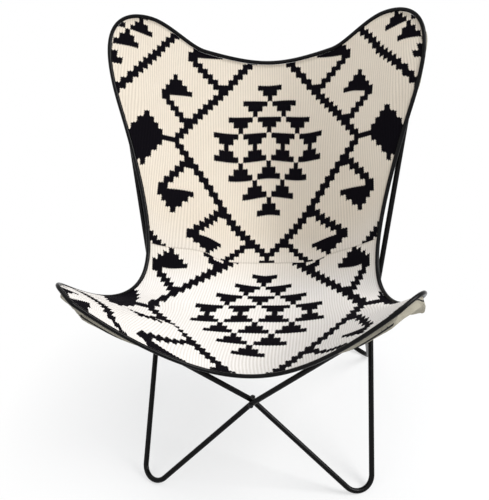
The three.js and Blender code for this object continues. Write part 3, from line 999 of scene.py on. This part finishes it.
def woven_ink(column, row):
    """1 on the black figures: medallions, the stepped sides of the large diamonds, hooks with stems and
    heads, and the small diamonds at the sides with their bars."""
    next_medallion = medallion(abs(column - NEXT_COLUMN), abs(row - NEXT_ROW))
    ink = medallion(column, row) | (next_medallion & (column > NEXT_FROM - 0.5))
    for line in DIAMOND_SIDES:
        ink |= (column + row).within(line, line + 1)
    for slant, first, last in HOOK_STEMS:
        ink |= (column - row).within(slant, slant + 1) & row.within(first, last)
    for tip, base in HOOK_HEADS:
        ink |= (abs(column - tip) + row < base + HOOK_HEIGHT + 0.5) & (row > base - 0.5)
    ink |= column.within(*SIDE_BAR) & (row < 0.5)
    ink |= abs(column - SIDE_DIAMOND) + row < SIDE_DIAMOND_REACH + 0.5
    return ink | (column.within(*TIP_COLUMNS) & row.within(TIP_ROW, TIP_ROW))


def kilim_finish():
    """Flat-woven wool: black figures on cream, warm on the back and a paler cream on the seat that is
    painted light, with ribs, picks and a furrow at the seam. The cream has painted shade in the ribs'
    hollows and in the seam's furrow, and the black has a painted highlight on the rib tops. Each spot is
    read in the cells of its own panel."""
    wool = Finish("kilim_wool")
    back_column, back_row = wool.uv("back_cells")
    seat_column, seat_row = wool.uv("seat_cells")
    wing_column, wing_row = wool.uv("wing_cells")
    side, along = wool.uv("sling")
    past_seam = back_row - SEAM_ROW + abs(back_column / SEAM_HALF_WIDTH).math("POWER", 3) * SEAM_RISE
    on_seat = past_seam > 0
    on_wing = ((side * -FOLD_LEAN + FOLD_FOOT) & FOLD_ALONG) > along
    front_column = seat_column + on_wing * (wing_column - seat_column)
    front_row = seat_row + on_wing * (wing_row - seat_row)
    across = back_column + on_seat * (front_column - back_column)
    down = back_row + on_seat * (front_row - back_row)
    rib = across.wave(RIBS)
    column = (abs(across) + (down.wave(TEETH) - 0.5) * SIDE_TOOTH).whole()
    row = (abs(down) + (rib - 0.5) * END_TOOTH).whole()
    cloud = wool.noise(scale=9, detail=4, rough=0.6)
    fleck = wool.noise(scale=420, detail=3, rough=0.7)
    # Relief of the ribs and picks: it makes the bump, and it also paints shade into the hollows and a
    # highlight onto the tops.
    relief = rib * 0.7 + down.wave(PICKS) * 0.3
    furrow = 1 - (abs(past_seam) * 3.2 & 1.0)
    mottle = cloud * 0.6 + fleck * 1.6 - 0.6
    warm, lit_cream = wool.blend(mottle, *WARM_CREAM), wool.blend(mottle, *LIT_SEAT_CREAM)
    # Painted light: the cream turns to the paler lit cream over the rows past the seam, as if the seat were
    # more brightly lit.
    light = wool.blend((past_seam * 0.06 + 0.4).share(), warm, lit_cream)
    # Painted shade: the cream turns towards the shade brown in the ribs' hollows and in the seam's furrow.
    light = wool.blend((1 - relief) * fleck + furrow * 0.3, light, HOLLOW_SHADE_BROWN)
    # Painted highlight: the black yarn is lighter on the rib tops.
    dark = wool.blend(fleck * 0.7 + relief * 0.3, *WOOL_BLACK)
    return wool.done(
        Base_Color=wool.blend(woven_ink(column, row), light, dark),
        Roughness=fleck * 0.1 + 0.85,
        Specular_IOR_Level=0.03,
        Normal=wool.bump(relief + fleck * 0.5 - furrow * 1.5, distance=0.0012, strength=0.55),
    )


# Pieces.

coat = rod_finish()
for side, path in loops.items():
    rod_loop(f"rod_{side}", path, f"frame_loop_{side}", coat)

steel = fastener_finish()
for node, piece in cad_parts.items():
    if "_crossing_" in node:
        piece.data.materials.clear()
        piece.data.materials.append(steel)

outline = full_outline(*SLING_DETAIL)
face = sling_layer("woven_face", 0.0, FACE, FACE_RINGS, outline, kilim_finish(), SEAM_CREASE)
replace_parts(face, "sling_face")
lining = sling_layer("canvas_lining", -GAP - LINING, -GAP, LINING_RINGS, outline, lining_finish())
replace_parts(lining, "sling_lining")
piping = edge_piping("leather_piping", outline, piping_finish())
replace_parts(piping, "edge_piping")

half = half_outline(*POCKET_DETAIL)
corner_part = half[half[:, 0] > POCKET_FROM_ACROSS]
front_lobe = corner_part[corner_part[:, 1] < FRONT_LOBE_ALONG + POCKET_PAST_LOBE]
back_lobe = corner_part[corner_part[:, 1] > BACK_LOBE_ALONG]
canvas = pocket_finish()
front_pockets = pocket_pair("front", front_lobe, FRONT_POCKET_REACH, FRONT_PULLS, canvas)
back_pockets = pocket_pair("back", back_lobe, BACK_POCKET_REACH, BACK_PULLS, canvas)

# The four pockets together.
pockets = front_pockets + back_pockets


# Studio, in metres and watts: a pale floor that keeps the shadow, soft lamps and a white surround.

FLOOR_REACH = 12.0
FLOOR_PAINT = (0.86, 0.86, 0.86)
FLOOR_GLOW = 0.55
SHADOW_REACH = 0.3
SHADOW_FADE = 2.6
WHITE = (1.0, 1.0, 1.0)
SKY_TONE = (0.93, 0.96, 1.0)
SKY_STRENGTH = 0.55


def floor_finish():
    """White to the camera, but for the shadow that a share of plain paint keeps under the chair. That
    share fades with the distance from the chair's middle."""
    ground = Finish("studio_floor")
    paint = ground.add("ShaderNodeBsdfDiffuse", None, {"Color": FLOOR_PAINT})
    glow = ground.add("ShaderNodeEmission", None, {"Color": WHITE, "Strength": 1.0})
    far = ground.add("ShaderNodeVectorMath", {"operation": "LENGTH"}, {0: ground.place()}, outlet="Value")
    clear = ((far - SHADOW_REACH) * SHADOW_FADE).share()
    white = ground.seen() * (clear * (1 - FLOOR_GLOW) + FLOOR_GLOW)
    return ground.surfaced(ground.choice(white, paint, glow))


def white_surround():
    """White where the camera looks past the chair, and a faint sky as light."""
    world = bpy.data.worlds.new("studio")
    world.use_nodes = True
    nodes = Nodes(world.node_tree)
    sky = nodes.add("ShaderNodeBackground", None, {"Color": SKY_TONE, "Strength": SKY_STRENGTH})
    white = nodes.add("ShaderNodeBackground", None, {"Color": WHITE, "Strength": 1.0})
    nodes.add("ShaderNodeOutputWorld", None, {"Surface": nodes.choice(nodes.seen(), sky, white)})
    return world


def stand(thing, place, right, up, back):
    """Puts a lamp or a camera at a place in metres, with its own axes along three unit vectors."""
    turned = Matrix(np.stack([right, up, back], 1).tolist())
    thing.matrix_world = Matrix.Translation(place) @ turned.to_4x4()
    bpy.context.scene.collection.objects.link(thing)


def lamp(name, place, aim, size, power):
    """A square soft box that faces a point."""
    data = bpy.data.lights.new(name, "AREA")
    data.size, data.energy = size, power
    away = unit(np.array(place) - np.array(aim))
    side = unit(np.cross([0.0, 0.0, 1.0], away))
    stand(bpy.data.objects.new(name, data), place, side, np.cross(away, side), away)


floor_mesh = bpy.data.meshes.new("floor")
floor_corners = [(x * FLOOR_REACH, y * FLOOR_REACH, 0) for x, y in ((-1, -1), (1, -1), (1, 1), (-1, 1))]
floor_mesh.from_pydata(floor_corners, [], [(0, 1, 2, 3)])
floor_mesh.materials.append(floor_finish())
floor = bpy.data.objects.new("floor", floor_mesh)
bpy.context.scene.collection.objects.link(floor)

lamp("key", place=(2.6, -0.6, 2.5), aim=(0.0, 0.0, 0.45), size=1.6, power=104)
lamp("fill", place=(-1.4, -2.4, 2.0), aim=(0.0, 0.0, 0.5), size=2.2, power=10)
lamp("top", place=(-0.7, 0.7, 3.0), aim=(0.0, 0.0, 0.4), size=2.0, power=22)
bpy.context.scene.world = white_surround()

lens = bpy.data.cameras.new("camera")
lens.sensor_fit = "HORIZONTAL"
lens.sensor_width = 36
lens.lens = FOCUS / WIDTH * lens.sensor_width
camera = bpy.data.objects.new("camera", lens)
eye = (EYE + [0, shift, 0]) * MILLIMETRE
stand(camera, eye.tolist(), RIGHT, -DOWN, -AHEAD)
bpy.context.scene.camera = camera
bpy.context.scene.view_settings.view_transform = "Standard"
